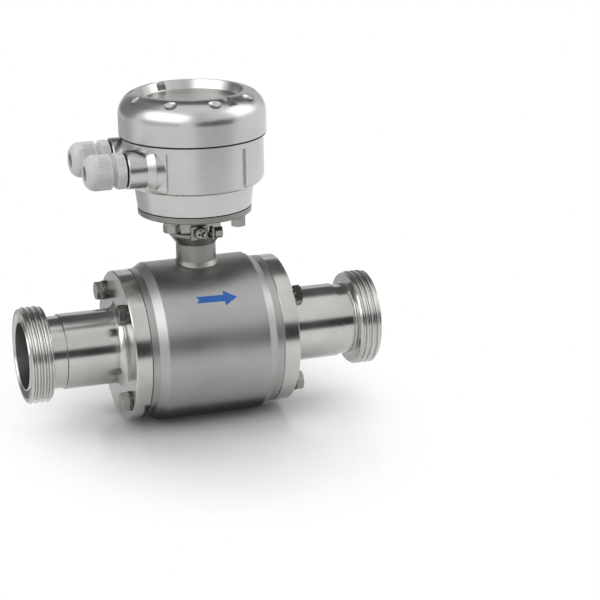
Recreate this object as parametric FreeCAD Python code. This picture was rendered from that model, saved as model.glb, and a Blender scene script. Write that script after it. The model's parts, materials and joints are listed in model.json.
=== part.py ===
import FreeCAD
import Part
import math
import os

# Hygienic electromagnetic flow meter with a remote terminal box.
# Origin: on the flow axis at mid-length, right under the neck. +X is the flow direction,
# -Y is the front and +Z is up. All sizes are in millimetres.

Vector = FreeCAD.Vector

# Process pipe and its unions with round thread 70 x 1/6"
pipe_diameter = 51.0
pipe_wall = 1.2
face_to_face = 264.0
union_thread_diameter = 70.0
union_thread_pitch = 25.4 / 6
union_thread_depth = 1.9
union_crest_land = 1.25
union_root_land = 1.1
union_thread_overcut = 0.6
union_ring_length = 16.5
union_chamfer = 1.3
union_groove_wall = 2.3
union_groove_depth = 2.4
union_tail_step = 0.8
union_tail_length = 11.5

# Bolted process flanges
spool_step = 1.9
flange_thickness = 12.4
flange_edge = 0.8
hub_fillet = 5.6
process_seal_width = 5.7
process_seal_thickness = 2.0
seat_clearance = 0.1

# Sensor housing
sensor_length = 97.8
barrel_diameter = 116.0
barrel_wall = 3.0
end_ring_step = 3.7
end_ring_land = 5.1
end_ring_cone = 6.3
end_ring_depth = 12.4
lead_hole_diameter = 20.0

# Lined measuring tube, electrodes and field coils
liner_wall = 2.2
liner_flare_margin = 0.5
liner_flare_thickness = 2.2
measuring_tube_wall = 1.8
electrode_diameter = 4.0
electrode_recess = 0.3
electrode_length = 16.0
insulator_diameter = 9.0
insulator_length = 7.5
electrode_nut_flats = 8.0
electrode_nut_height = 3.2
pole_shoe_length = 48.0
pole_shoe_width = 44.0
pole_shoe_rise = 2.7
pole_core_diameter = 27.0
coil_diameter = 40.0
coil_clearance = 0.3
coil_room = 1.9
yoke_clearance = 2.0
yoke_wall = 3.0
yoke_length = 48.0

# M8 flange bolts with spring washers
flange_bolt_count = 4
flange_bolt_edge = 8.3
flange_bolt_angle = 45.0
flange_bolt_diameter = 8.0
flange_bolt_flats = 13.0
flange_bolt_head = 5.3
flange_bolt_turn = 30.0
flange_bolt_grip = 22.0
flange_bolt_hole = 9.0
flange_washer_diameter = 14.2
flange_washer_thickness = 2.0
flange_washer_split = 1.0
flange_washer_slant = 30.0
thread_clearance = 0.05
tap_overrun = 0.5
head_chamfer = 30.0
head_face_step = 0.05

# Neck, collar and clamping nut
neck_diameter = 29.0
neck_wall = 1.5
neck_weld = 2.2
neck_weld_height = 3.2
neck_length = 14.0
collar_flare = 7.2
collar_rim = 2.2
collar_overhang = 5.2
neck_nut_wall = 3.0
neck_nut_height = 13.9
neck_nut_angle = -140.0
lead_diameter = 7.0
lead_clearance = 0.1
neck_plug_height = 6.0

# Earth terminal and lock screw on the collar
lug_clearance = 0.3
earth_lug_width = 11.5
earth_lug_thickness = 3.0
earth_lug_height = 12.5
earth_x = -2.8
earth_height = 3.0
earth_screw_diameter = 5.0
earth_head_diameter = 9.2
earth_head_height = 3.2
earth_head_round = 1.9
earth_recess_width = 1.5
earth_recess_depth = 1.8
earth_recess_span = 5.2
earth_recess_turn = 20.0
earth_screw_grip = 5.5
clamp_width = 11.5
clamp_height = 9.6
clamp_thickness = 1.5
clamp_offset = 1.6
clamp_lip = 1.4
lock_lug_thickness = 1.75
lock_lug_gap = 2.25
lock_lug_depth = 6.6
lock_lug_height = 8.5
lock_screw_height = 1.8
lock_screw_flats = 7.0
lock_screw_head = 5.6
lock_screw_neck = 5.6
lock_screw_neck_length = 0.8
lock_screw_diameter = 4.0
lock_screw_grip = 2.75

# Ring flange under the terminal box
ring_thickness = 4.3
ring_edge = 0.5
ring_hub_wall = 4.5
ring_gasket_thickness = 0.8
ring_gasket_inset = 0.7
ring_bolt_edge = 5.9
ring_bolt_count = 4
ring_bolt_diameter = 6.0
ring_bolt_flats = 10.0
ring_bolt_head = 5.8
ring_washer_thickness = 1.8
ring_washer_diameter = 10.6
ring_bolt_hole = 6.6
ring_bolt_engagement = 5.0

# Terminal box body
box_diameter = 101.6
box_foot_step = 9.6
box_foot_height = 16.2
box_foot_spread = 2.1
box_corner = 6.5
box_corner_rise = 0.3
box_height = 52.0
box_floor = 6.4
box_wall = 6.8
box_foot_wall = 3.6
spigot_wall = 3.4
spigot_height = 11.5
label_field_depth = 1.6
label_field_start = -128.0
label_field_end = -59.3
label_field_top = 4.2
post_diameter = 9.0
post_inset = 7.0
post_height = 5.0
post_count = 4

# Cable entries
entry_spacing = 43.0
entry_drop = 17.4
entry_boss_diameter = 27.6
entry_boss_reach = 5.4
entry_boss_edge = 0.7
entry_pad_inset = 12.8
entry_pad_diameter = 36.8
entry_pad_height = 28.4
entry_flare_diameter = 35.0
entry_flare_length = 5.0
entry_bore = 20.0

# M20 cable glands
gland_clearance = 0.05
gland_ring_thickness = 1.2
gland_ring_bevel = 0.3
gland_ring_inset = 1.1
gland_hex_flats = 24.0
gland_hex_length = 6.8
gland_hex_angle = 30.0
gland_tail_length = 9.0
gland_bore = 13.0
gland_thread_diameter = 21.0
gland_thread_length = 9.4
gland_socket_wall = 1.9
gland_socket_length = 12.0
gland_nut_gap = 3.2
gland_nut_wall = 1.3
gland_nut_diameter = 25.8
gland_nut_skirt = 10.4
gland_nut_dome = 7.8
gland_nut_tip_diameter = 15.0
gland_nut_clearance = 0.3
gland_nut_bore_depth = 9.5
gland_nut_tip_wall = 1.6
gland_hole_diameter = 10.6
gland_insert_play = 0.4
gland_insert_hole = 9.0
gland_insert_length = 18.5
gland_insert_clearance = 0.3

# Cover with its seal
cover_overhang = 2.2
cover_skirt = 14.2
cover_shoulder = 16.0
cover_rim_slope = 2.5
cover_recess_depth = 6.3
cover_dish = 0.6
cover_plate = 4.3
cover_thread_clearance = 0.3
cover_inner_corner = 7.5
cover_seal_thickness = 1.4
cover_seal_inset = 0.6
dimple_count = 9
dimple_angle = -85.0
dimple_lie = 59.2
dimple_diameter = 9.8
dimple_depth = 1.7
key_slot_angle = -68.5
key_slot_width = 7.4
key_slot_reach = 13.2

# Terminal plate and terminals
plate_clearance = 0.6
plate_thickness = 2.0
plate_lead_hole = 9.0
terminal_count = 6
terminal_pitch = 7.0
terminal_depth = 13.0
terminal_height = 12.0
terminal_screw_gap = 2.0
terminal_end_wall = 1.5
terminal_step = 4.3
terminal_step_height = 3.0
wire_hole_height = 4.0
wire_hole_diameter = 3.6
wire_hole_length = 8.0
terminal_screw_diameter = 4.6
terminal_screw_height = 1.6
terminal_screw_slot = 0.9
post_screw_diameter = 3.0
post_screw_head = 6.0
post_screw_head_height = 2.2

# Places that follow from the sizes above
half_facet = math.radians(30)
along_flow = Vector(1, 0, 0)
to_front = Vector(0, -1, 0)
to_back = Vector(0, 1, 0)
up = Vector(0, 0, 1)
pipe_radius = pipe_diameter / 2
bore_radius = pipe_radius - pipe_wall
spool_radius = pipe_radius + spool_step
half_length = face_to_face / 2
union_back = half_length - union_ring_length
weld_joint = union_back - union_tail_length
seam = sensor_length / 2
flange_face = seam + flange_thickness
spool_start = flange_face + hub_fillet
barrel_radius = barrel_diameter / 2
cavity_radius = barrel_radius - barrel_wall
barrel_end = seam - end_ring_land - end_ring_cone
rim_radius = barrel_radius - end_ring_step
flange_bolt_place = rim_radius - flange_bolt_edge
seal_radius = bore_radius + process_seal_width
flare_radius = seal_radius + liner_flare_margin
liner_radius = bore_radius + liner_wall
tube_radius = liner_radius + measuring_tube_wall
tube_end = seam - liner_flare_thickness
pole_shoe_top = tube_radius + pole_shoe_rise
yoke_radius = cavity_radius - yoke_clearance
yoke_bore_radius = yoke_radius - yoke_wall
neck_radius = neck_diameter / 2
neck_bore_radius = neck_radius - neck_wall
collar_base = barrel_radius + neck_length
collar_shoulder = collar_base + collar_flare
collar_top = collar_shoulder + collar_rim
neck_nut_flats = 2 * (neck_bore_radius + neck_nut_wall)
lug_back = neck_nut_flats / 2 / math.cos(half_facet) + lug_clearance
lug_front = lug_back + earth_lug_thickness
earth_z = collar_top + earth_height
lock_x = earth_x + earth_lug_width / 2 + lock_lug_gap + lock_lug_thickness / 2
lock_front = lug_back + lock_lug_depth
lock_seat = Vector(lock_x + lock_lug_thickness / 2, -(lug_back + lock_front) / 2,
                   collar_top + lock_screw_height)
ring_underside = collar_top + neck_nut_height
ring_top = ring_underside + ring_thickness
box_base = ring_top + ring_gasket_thickness
box_top = box_base + box_height
box_radius = box_diameter / 2
box_bore_radius = box_radius - box_wall
foot_radius = box_radius - box_foot_step
ring_bolt_place = foot_radius - ring_bolt_edge
spigot_radius = box_bore_radius + spigot_wall
spigot_top = box_top + spigot_height
entry_z = box_top - entry_drop
entry_y = entry_spacing / 2
entry_boss_face = box_radius + entry_boss_reach
entry_pad_face = box_radius - entry_pad_inset
gland_thread_radius = gland_thread_diameter / 2
gland_nut_flats = 2 * (gland_thread_radius + gland_nut_clearance + gland_nut_wall)
cover_base = box_top + cover_seal_thickness
cover_radius = box_radius + cover_overhang
cover_rim_radius = cover_radius - cover_shoulder
recess_radius = cover_rim_radius - cover_rim_slope
shoulder_start = cover_base + cover_skirt
cover_top = shoulder_start + cover_shoulder
recess_floor = cover_top - cover_recess_depth
ceiling = recess_floor - cover_dish - cover_plate
plate_base = box_base + box_floor + post_height
plate_top = plate_base + plate_thickness
plate_radius = foot_radius - box_foot_wall - plate_clearance
post_place = plate_radius - post_inset
terminal_front = post_place - post_screw_head / 2 - terminal_screw_gap


def outline(start, *steps):
    """A closed wire. Each step is an end point, or a middle and an end point of an arc."""
    edges = []
    here = start
    for step in steps + (start,):
        if isinstance(step, tuple):
            edges.append(Part.Arc(here, step[0], step[1]).toShape())
            here = step[1]
        elif (step - here).Length > 1e-9:
            edges.append(Part.LineSegment(here, step).toShape())
            here = step
    return Part.Wire(edges)


def turned_x(*profile):
    """A solid turned about the flow axis, from points (x, radius)."""
    points = [tuple(Vector(*p, 0) for p in step) if isinstance(step[0], tuple) else Vector(*step, 0)
              for step in profile]
    return Part.Face(outline(*points)).revolve(Vector(), along_flow, 360)


def turned_z(*profile):
    """A solid turned about the Z axis, from points (radius, z)."""
    points = [tuple(Vector(p[0], 0, p[1]) for p in step) if isinstance(step[0], tuple)
              else Vector(step[0], 0, step[1]) for step in profile]
    return Part.Face(outline(*points)).revolve(Vector(), up, 360)


def rod(radius, start, direction, length):
    return Part.makeCylinder(radius, length, start, direction)


def pipe(outer, inner, start, direction, length):
    return rod(outer, start, direction, length).cut(rod(inner, start, direction, length))


def block(x, y, z):
    """A box from three ranges."""
    corner = Vector(x[0], y[0], z[0])
    return Part.makeBox(x[1] - x[0], y[1] - y[0], z[1] - z[0], corner)


def hexagon(flats, start, direction, length, angle=0.0):
    """A hexagonal prism, its corners counted from angle about its own axis."""
    corner = flats / 2 / math.cos(half_facet)
    points = [Vector(corner, 0, 0)]
    for turn in range(1, 7):
        points.append(FreeCAD.Rotation(Vector(0, 0, 1), 60 * turn).multVec(points[0]))
    prism = Part.Face(Part.makePolygon(points)).extrude(Vector(0, 0, length))
    prism.rotate(Vector(), Vector(0, 0, 1), angle)
    prism.Placement = FreeCAD.Placement(start, FreeCAD.Rotation(Vector(0, 0, 1), direction)) * prism.Placement
    return prism


def rounded_hexagon(flats, start, direction, length, angle=0.0):
    """A hexagonal head whose outer corners are turned off."""
    corner = flats / 2 / math.cos(half_facet)
    slope = math.tan(math.radians(head_chamfer))
    rise = (corner - flats / 2) * slope
    side = Part.makeCone(corner + length / slope, flats / 2 - head_face_step, length + rise,
                         start - direction * rise, direction)
    return hexagon(flats, start, direction, length, angle).common(side)


def around(shape, count, axis, first=0.0):
    """Copies of a shape, evenly spaced about an axis through the origin."""
    copies = []
    for index in range(count):
        copy = shape.copy()
        copy.rotate(Vector(), axis, first + 360.0 * index / count)
        copies.append(copy)
    return Part.makeCompound(copies)


def on_inlet(shape):
    """The same piece at the inlet, turned half round so that its thread keeps its hand."""
    copy = shape.copy()
    copy.rotate(Vector(), up, 180)
    return copy


def on_rear(shape):
    """The same piece behind the flow axis."""
    return shape.mirror(Vector(), to_back)


def on_bottom(shape):
    """The same piece under the flow axis."""
    return shape.mirror(Vector(), up)


def union_thread():
    """The helical groove of the round thread, ready to be cut from the union ring."""
    pitch = union_thread_pitch
    crest = union_thread_diameter / 2
    root = crest - union_thread_depth
    overrun = pitch
    length = union_ring_length + 2 * overrun
    mouth = (pitch - union_crest_land) / 2
    floor = union_root_land / 2
    rise = (mouth - floor) / union_thread_depth
    wide = mouth + rise * union_thread_overcut
    outer = crest + union_thread_overcut
    section = Part.makePolygon([Vector(root, 0, -floor), Vector(outer, 0, -wide), Vector(outer, 0, wide),
                                Vector(root, 0, floor), Vector(root, 0, -floor)])
    helix = Part.makeHelix(pitch, length, crest)
    groove = Part.Wire(helix).makePipeShell([section], True, True)
    groove.Placement = FreeCAD.Placement(Vector(union_back - overrun, 0, 0),
                                         FreeCAD.Rotation(up, along_flow))
    return groove


def union_end():
    """The welded-on union end: tail, thread ring, and the seal groove with the pipe's lip."""
    crest = union_thread_diameter / 2
    tail = pipe_radius + union_tail_step
    groove = crest - union_thread_depth - union_groove_wall
    blank = turned_x((weld_joint, bore_radius), (weld_joint, tail), (union_back, tail),
                     (union_back, crest - union_chamfer), (union_back + union_chamfer, crest),
                     (half_length - union_chamfer, crest), (half_length, crest - union_chamfer),
                     (half_length, groove), (half_length - union_groove_depth, groove),
                     (half_length - union_groove_depth, pipe_radius), (half_length, pipe_radius),
                     (half_length, bore_radius))
    return blank.cut(union_thread())


def flange():
    """The process flange with its hub fillet."""
    seat = seal_radius + seat_clearance
    seat_floor = seam + process_seal_thickness
    hub = spool_radius + hub_fillet
    lean = hub_fillet * (1 - math.sqrt(0.5))
    edge = rim_radius - flange_edge
    disc = turned_x((seat_floor, bore_radius), (seat_floor, seat), (seam, seat), (seam, edge),
                    (seam + flange_edge, rim_radius), (flange_face - flange_edge, rim_radius),
                    (flange_face, edge), (flange_face, hub),
                    ((flange_face + lean, spool_radius + lean), (spool_start, spool_radius)),
                    (spool_start, bore_radius))
    hole = rod(flange_bolt_hole / 2, Vector(seam, flange_bolt_place, 0), along_flow, flange_thickness)
    return disc.cut(around(hole, flange_bolt_count, along_flow, flange_bolt_angle))


def spool():
    """The pipe welded between flange and union end."""
    return pipe(spool_radius, bore_radius, Vector(spool_start, 0, 0), along_flow, weld_joint - spool_start)


def process_seal():
    return pipe(seal_radius, bore_radius, Vector(seam, 0, 0), along_flow, process_seal_thickness)


def flange_bolts():
    """Hexagon bolts that reach through the flange into the end ring."""
    seat = flange_face + flange_washer_thickness
    centre = Vector(seat, flange_bolt_place, 0)
    shank = rod(flange_bolt_diameter / 2 - thread_clearance, centre, -along_flow, flange_bolt_grip)
    head = rounded_hexagon(flange_bolt_flats, centre, along_flow, flange_bolt_head, flange_bolt_turn)
    return around(head.fuse(shank), flange_bolt_count, along_flow, flange_bolt_angle)


def flange_washers():
    """Spring washers, each split by a slanted cut."""
    centre = Vector(flange_face, flange_bolt_place, 0)
    hole = flange_bolt_diameter / 2 + seat_clearance
    ring = pipe(flange_washer_diameter / 2, hole, centre, along_flow, flange_washer_thickness)
    split = block((flange_face - 2 * flange_washer_thickness, flange_face + 2 * flange_washer_thickness),
                  (centre.y, centre.y + flange_washer_diameter),
                  (-flange_washer_split / 2, flange_washer_split / 2))
    middle = Vector(flange_face + flange_washer_thickness / 2, centre.y, 0)
    split.rotate(middle, to_back, flange_washer_slant)
    return around(ring.cut(split), flange_bolt_count, along_flow, flange_bolt_angle)


def sensor_housing():
    """The barrel, with the hole for the leads under the neck."""
    barrel = pipe(barrel_radius, cavity_radius, Vector(-barrel_end, 0, 0), along_flow, 2 * barrel_end)
    return barrel.cut(rod(lead_hole_diameter / 2, Vector(), up, barrel_diameter))


def end_ring():
    """The end ring welded into the barrel: spigot, cone, land, liner seat and bolt taps."""
    flare = flare_radius + seat_clearance
    ring = turned_x((seam - end_ring_depth, tube_radius), (seam - end_ring_depth, cavity_radius),
                    (barrel_end, cavity_radius), (barrel_end, barrel_radius),
                    (seam - end_ring_land, rim_radius), (seam, rim_radius), (seam, flare), (tube_end, flare),
                    (tube_end, tube_radius))
    depth = flange_bolt_grip - flange_thickness - flange_washer_thickness + tap_overrun
    tap = rod(flange_bolt_diameter / 2, Vector(seam, flange_bolt_place, 0), -along_flow, depth)
    return ring.cut(around(tap, flange_bolt_count, along_flow, flange_bolt_angle))


def electrode_bore(radius):
    """The cross hole of both electrodes."""
    reach = tube_radius + measuring_tube_wall
    return rod(radius, Vector(0, -reach, 0), to_back, 2 * reach)


def measuring_tube():
    tube = pipe(tube_radius, liner_radius, Vector(-tube_end, 0, 0), along_flow, 2 * tube_end)
    return tube.cut(electrode_bore(insulator_diameter / 2))


def liner():
    """The liner, flared over both ends of the measuring tube."""
    sleeve = turned_x((-seam, bore_radius), (-seam, flare_radius), (-tube_end, flare_radius),
                      (-tube_end, liner_radius), (tube_end, liner_radius), (tube_end, flare_radius),
                      (seam, flare_radius), (seam, bore_radius))
    return sleeve.cut(electrode_bore(electrode_diameter / 2))


def front_electrode():
    start = Vector(0, -bore_radius - electrode_recess, 0)
    return rod(electrode_diameter / 2, start, to_front, electrode_length)


def front_insulator():
    """The bushing that holds the electrode off the tube, seated on the liner."""
    start = Vector(0, -bore_radius, 0)
    length = liner_wall + insulator_length
    bush = pipe(insulator_diameter / 2, electrode_diameter / 2, start, to_front, length)
    return bush.cut(rod(liner_radius, Vector(-insulator_diameter, 0, 0), along_flow, 2 * insulator_diameter))


def electrode_nut():
    start = Vector(0, -liner_radius - insulator_length, 0)
    nut = rounded_hexagon(electrode_nut_flats, start, to_front, electrode_nut_height)
    return nut.cut(rod(electrode_diameter / 2, start, to_front, electrode_nut_height))


def upper_pole():
    """The pole shoe, bent round the tube, with its core up to the yoke."""
    half = pole_shoe_length / 2
    side = pole_shoe_width / 2
    shoe = block((-half, half), (-side, side), (tube_radius / 2, pole_shoe_top))
    core = rod(pole_core_diameter / 2, Vector(0, 0, pole_shoe_top), up, yoke_bore_radius)
    inside_yoke = rod(yoke_bore_radius, Vector(-half, 0, 0), along_flow, pole_shoe_length)
    pole = shoe.fuse(core.common(inside_yoke))
    return pole.cut(rod(tube_radius, Vector(-half, 0, 0), along_flow, pole_shoe_length))


def upper_coil():
    """The coil, as high as the curve of the yoke lets it be."""
    start = Vector(0, 0, pole_shoe_top + coil_clearance)
    inner = pole_core_diameter / 2 + coil_clearance
    outer = coil_diameter / 2
    top = math.sqrt((yoke_bore_radius - coil_room) ** 2 - outer ** 2)
    return pipe(outer, inner, start, up, top - start.z)


def yoke():
    start = Vector(-yoke_length / 2, 0, 0)
    return pipe(yoke_radius, yoke_bore_radius, start, along_flow, yoke_length)


def neck_tube():
    """The neck, cut to sit on the barrel, with its weld bead."""
    bead = neck_radius + neck_weld
    foot = math.sqrt(barrel_radius ** 2 - bead ** 2)
    bead_top = barrel_radius + neck_weld_height / 2
    tube = turned_z((neck_bore_radius, foot), (bead, foot), (bead, bead_top - neck_weld_height),
                    (neck_radius, bead_top), (neck_radius, collar_base), (neck_bore_radius, collar_base))
    return tube.cut(rod(barrel_radius, Vector(-barrel_radius, 0, 0), along_flow, barrel_diameter))


def neck_plug():
    """The sealing plug that carries the leads through the neck."""
    start = Vector(0, 0, collar_base - neck_plug_height)
    return pipe(neck_bore_radius, lead_diameter / 2 + lead_clearance, start, up, neck_plug_height)


def lead_bundle():
    """The leads from the coils and electrodes up to the terminal plate."""
    start = Vector(0, 0, yoke_radius + lead_clearance)
    return rod(lead_diameter / 2, start, up, plate_base - lead_clearance - start.z)


def collar_lug(x, width, front, height):
    """A lug that stands on the collar's rim, clear of the nut."""
    sides = (x - width / 2, x + width / 2)
    foot = block(sides, (-front, -neck_radius), (collar_shoulder, collar_top))
    return foot.fuse(block(sides, (-front, -lug_back), (collar_shoulder, collar_shoulder + height)))


def neck_collar():
    """The flared collar with the earth lug and the lug of the lock screw."""
    wide = neck_radius + collar_overhang
    body = turned_z((neck_bore_radius, collar_base), (neck_radius, collar_base), (wide, collar_shoulder),
                    (wide, collar_top), (neck_bore_radius, collar_top))
    body = body.fuse(collar_lug(earth_x, earth_lug_width, lug_front, earth_lug_height))
    body = body.fuse(collar_lug(lock_x, lock_lug_thickness, lock_front, lock_lug_height))
    body = body.cut(rod(neck_bore_radius, Vector(0, 0, collar_base), up, collar_flare + collar_rim))
    tap = Vector(earth_x, -lug_front, earth_z)
    body = body.cut(rod(earth_screw_diameter / 2, tap, to_back, earth_lug_thickness))
    return body.cut(rod(lock_screw_diameter / 2, lock_seat, -along_flow, lock_lug_thickness)).removeSplitter()


def neck_nut():
    """The hexagonal nut that clamps the ring flange to the collar."""
    start = Vector(0, 0, collar_top)
    nut = hexagon(neck_nut_flats, start, up, neck_nut_height, neck_nut_angle)
    return nut.cut(rod(neck_bore_radius + seat_clearance, start, up, neck_nut_height))


def earth_clamp():
    """The square clamp washer, turned up along its free edge."""
    x = (earth_x - clamp_offset - clamp_width / 2, earth_x - clamp_offset + clamp_width / 2)
    z = (earth_z - clamp_height / 2, earth_z + clamp_height / 2)
    plate = block(x, (-lug_front - clamp_thickness, -lug_front), z)
    lip = block((x[0], x[0] + clamp_lip), (-lug_front - clamp_thickness - clamp_lip, -lug_front), z)
    hole = rod(earth_screw_diameter / 2 + seat_clearance, Vector(earth_x, -lug_front, earth_z), to_front,
               clamp_thickness)
    return plate.fuse(lip).removeSplitter().cut(hole)


def earth_screw():
    """Pan-head screw with a cross recess."""
    seat = Vector(earth_x, -lug_front - clamp_thickness, earth_z)
    radius = earth_head_diameter / 2
    face = radius - earth_head_round
    rim = earth_head_height - earth_head_round
    lean = earth_head_round * math.sqrt(0.5)
    head = turned_z((0, 0), (radius, 0), (radius, rim),
                    ((face + lean, rim + lean), (face, earth_head_height)), (0, earth_head_height))
    wide = earth_recess_span / 2
    thin = earth_recess_width / 2
    depth = (earth_head_height - earth_recess_depth, 2 * earth_head_height)
    cross = block((-wide, wide), (-thin, thin), depth).fuse(block((-thin, thin), (-wide, wide), depth))
    cross.rotate(Vector(), up, earth_recess_turn)
    screw = head.cut(cross)
    screw.Placement = FreeCAD.Placement(seat, FreeCAD.Rotation(up, to_front))
    shank = rod(earth_screw_diameter / 2 - thread_clearance, seat, to_back, earth_screw_grip)
    return screw.fuse(shank)


def lock_screw():
    """The small hexagon screw beside the earth terminal."""
    shank = rod(lock_screw_diameter / 2 - thread_clearance, lock_seat, -along_flow, lock_screw_grip)
    neck = rod(lock_screw_neck / 2, lock_seat, along_flow, lock_screw_neck_length)
    start = lock_seat + along_flow * lock_screw_neck_length
    return rounded_hexagon(lock_screw_flats, start, along_flow, lock_screw_head).fuse(neck).fuse(shank)


def ring_holes(radius, start, height):
    hole = rod(radius, Vector(ring_bolt_place, 0, start), up, height)
    return around(hole, ring_bolt_count, up, 180.0 / ring_bolt_count)


def box_flange():
    """The ring flange with the hub that stands in the nut."""
    rim = foot_radius
    hub = neck_bore_radius
    bore = hub - ring_hub_wall
    disc = turned_z((bore, collar_top), (hub, collar_top), (hub, ring_underside),
                    (rim - ring_edge, ring_underside), (rim, ring_underside + ring_edge),
                    (rim, ring_top), (bore, ring_top))
    return disc.cut(ring_holes(ring_bolt_hole / 2, ring_underside, ring_thickness))


def ring_gasket():
    rim = foot_radius - ring_gasket_inset
    disc = pipe(rim, lead_hole_diameter / 2, Vector(0, 0, ring_top), up, ring_gasket_thickness)
    return disc.cut(ring_holes(ring_bolt_hole / 2, ring_top, ring_gasket_thickness))


def ring_bolts():
    """Hexagon bolts from below, through the ring flange into the box."""
    seat = Vector(ring_bolt_place, 0, ring_underside - ring_washer_thickness)
    grip = ring_washer_thickness + ring_thickness + ring_gasket_thickness + ring_bolt_engagement
    shank = rod(ring_bolt_diameter / 2 - thread_clearance, seat, up, grip)
    bolt = rounded_hexagon(ring_bolt_flats, seat, -up, ring_bolt_head).fuse(shank)
    return around(bolt, ring_bolt_count, up, 180.0 / ring_bolt_count)


def ring_washers():
    centre = Vector(ring_bolt_place, 0, ring_underside)
    hole = ring_bolt_diameter / 2 + seat_clearance
    washer = pipe(ring_washer_diameter / 2, hole, centre, -up, ring_washer_thickness)
    return around(washer, ring_bolt_count, up, 180.0 / ring_bolt_count)


def box_shell():
    """The outside of the box: foot cone, rounded corner, wall and spigot."""
    foot_top = box_base + box_foot_height
    corner_z = foot_top + box_corner + box_corner_rise
    corner_r = box_radius - box_corner
    lean = box_corner * math.sqrt(0.5)
    return turned_z((0, box_base), (foot_radius, box_base), (foot_radius + box_foot_spread, foot_top),
                    (corner_r, corner_z - box_corner),
                    ((corner_r + lean, corner_z - lean), (box_radius, corner_z)),
                    (box_radius, box_top), (spigot_radius, box_top), (spigot_radius, spigot_top),
                    (0, spigot_top))


def box_cavity():
    """The inside of the box, in step with its outside."""
    floor = box_base + box_floor
    foot = foot_radius - box_foot_wall
    foot_top = box_base + box_foot_height + box_foot_wall
    rise = box_bore_radius - foot - box_foot_spread
    return turned_z((0, floor), (foot, floor), (foot + box_foot_spread, foot_top),
                    (box_bore_radius, foot_top + rise), (box_bore_radius, spigot_top), (0, spigot_top))


def entry_pads():
    """The thick pad on the inlet side that the two cable bosses grow from."""
    radius = entry_pad_diameter / 2
    reach = entry_y + radius
    level = (entry_z - entry_pad_height / 2, entry_z + entry_pad_height / 2)
    pad = block((-entry_pad_face, 0), (-entry_y, entry_y), level)
    for y in (-entry_y, entry_y):
        pad = pad.fuse(rod(radius, Vector(-entry_pad_face, y, entry_z), along_flow, entry_pad_face))
    return pad.common(block((-entry_pad_face, 0), (-reach, reach), level))


def entry_boss(y):
    """One cable boss with its flare."""
    radius = entry_boss_diameter / 2
    start = Vector(-entry_pad_face, y, entry_z)
    flare = Part.makeCone(entry_flare_diameter / 2, radius, entry_flare_length, start, -along_flow)
    level = entry_pad_height / 2
    band = block((-entry_boss_face, 0), (-box_diameter, box_diameter), (entry_z - level, entry_z + level))
    boss = rod(radius, Vector(0, y, entry_z), -along_flow, entry_boss_face - entry_boss_edge)
    edge = Part.makeCone(radius, radius - entry_boss_edge, entry_boss_edge,
                         Vector(entry_boss_edge - entry_boss_face, y, entry_z), -along_flow)
    return flare.common(band).fuse(boss).fuse(edge)


def label_field():
    """The shallow blank field on the front of the wall."""
    sweep = label_field_end - label_field_start
    bottom = box_base + box_foot_height
    height = box_top - label_field_top - bottom
    wedge = Part.makeCylinder(box_radius + label_field_depth, height, Vector(0, 0, bottom), up, sweep)
    wedge.rotate(Vector(), up, label_field_start)
    return wedge.cut(rod(box_radius - label_field_depth, Vector(0, 0, bottom), up, height))


def box_posts():
    post = rod(post_diameter / 2, Vector(post_place, 0, box_base + box_floor / 2), up,
               box_floor / 2 + post_height)
    return around(post, post_count, up)


def box_body():
    """The terminal box: one casting with bosses, blank label field, posts and spigot."""
    body = box_shell().fuse(entry_pads()).cut(label_field())
    for y in (-entry_y, entry_y):
        body = body.fuse(entry_boss(y))
    body = body.cut(box_cavity()).fuse(box_posts())
    for y in (-entry_y, entry_y):
        body = body.cut(rod(entry_bore / 2, Vector(0, y, entry_z), -along_flow, entry_boss_face))
    tap_depth = ring_bolt_engagement + tap_overrun
    body = body.cut(ring_holes(ring_bolt_diameter / 2, box_base, tap_depth))
    lead_hole = rod(lead_hole_diameter / 2, Vector(0, 0, box_base), up, box_floor)
    post_tap = rod(post_screw_diameter / 2, Vector(post_place, 0, plate_base), -up, post_height)
    return body.cut(lead_hole).cut(around(post_tap, post_count, up)).removeSplitter()


def terminal_plate():
    plate = pipe(plate_radius, plate_lead_hole / 2, Vector(0, 0, plate_base), up, plate_thickness)
    hole = rod(post_screw_diameter / 2 + seat_clearance, Vector(post_place, 0, plate_base), up,
               plate_thickness)
    return plate.cut(around(hole, post_count, up))


def plate_screws():
    seat = Vector(post_place, 0, plate_top)
    head = rod(post_screw_head / 2, seat, up, post_screw_head_height)
    slot = block((seat.x - post_screw_head, seat.x + post_screw_head),
                 (-terminal_screw_slot / 2, terminal_screw_slot / 2),
                 (plate_top + post_screw_head_height / 2, plate_top + 2 * post_screw_head_height))
    shank = rod(post_screw_diameter / 2 - thread_clearance, seat, -up, plate_thickness + post_height / 2)
    return around(head.cut(slot).fuse(shank), post_count, up)


def terminal_places():
    first = -(terminal_count - 1) / 2 * terminal_pitch
    return [first + index * terminal_pitch for index in range(terminal_count)]


def front_terminals():
    """One moulded row of screw terminals, its wire holes facing out."""
    half = terminal_count * terminal_pitch / 2 + terminal_end_wall
    front = -terminal_front
    top = plate_top + terminal_height
    row = block((-half, half), (front, front + terminal_depth), (plate_top, top))
    row = row.cut(block((-half, half), (front, front + terminal_step), (top - terminal_step_height, top)))
    for x in terminal_places():
        row = row.cut(rod(wire_hole_diameter / 2, Vector(x, front, plate_top + wire_hole_height),
                          to_back, wire_hole_length))
    return row


def front_terminal_screws():
    """The clamping screws on top of the row."""
    screws = []
    top = plate_top + terminal_height
    y = (terminal_step + terminal_depth) / 2 - terminal_front
    for x in terminal_places():
        head = rod(terminal_screw_diameter / 2, Vector(x, y, top), up, terminal_screw_height)
        slot = block((x - terminal_screw_slot / 2, x + terminal_screw_slot / 2),
                     (y - terminal_screw_diameter, y + terminal_screw_diameter),
                     (top + terminal_screw_height / 2, top + 2 * terminal_screw_height))
        screws.append(head.cut(slot))
    return Part.makeCompound(screws)


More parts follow.
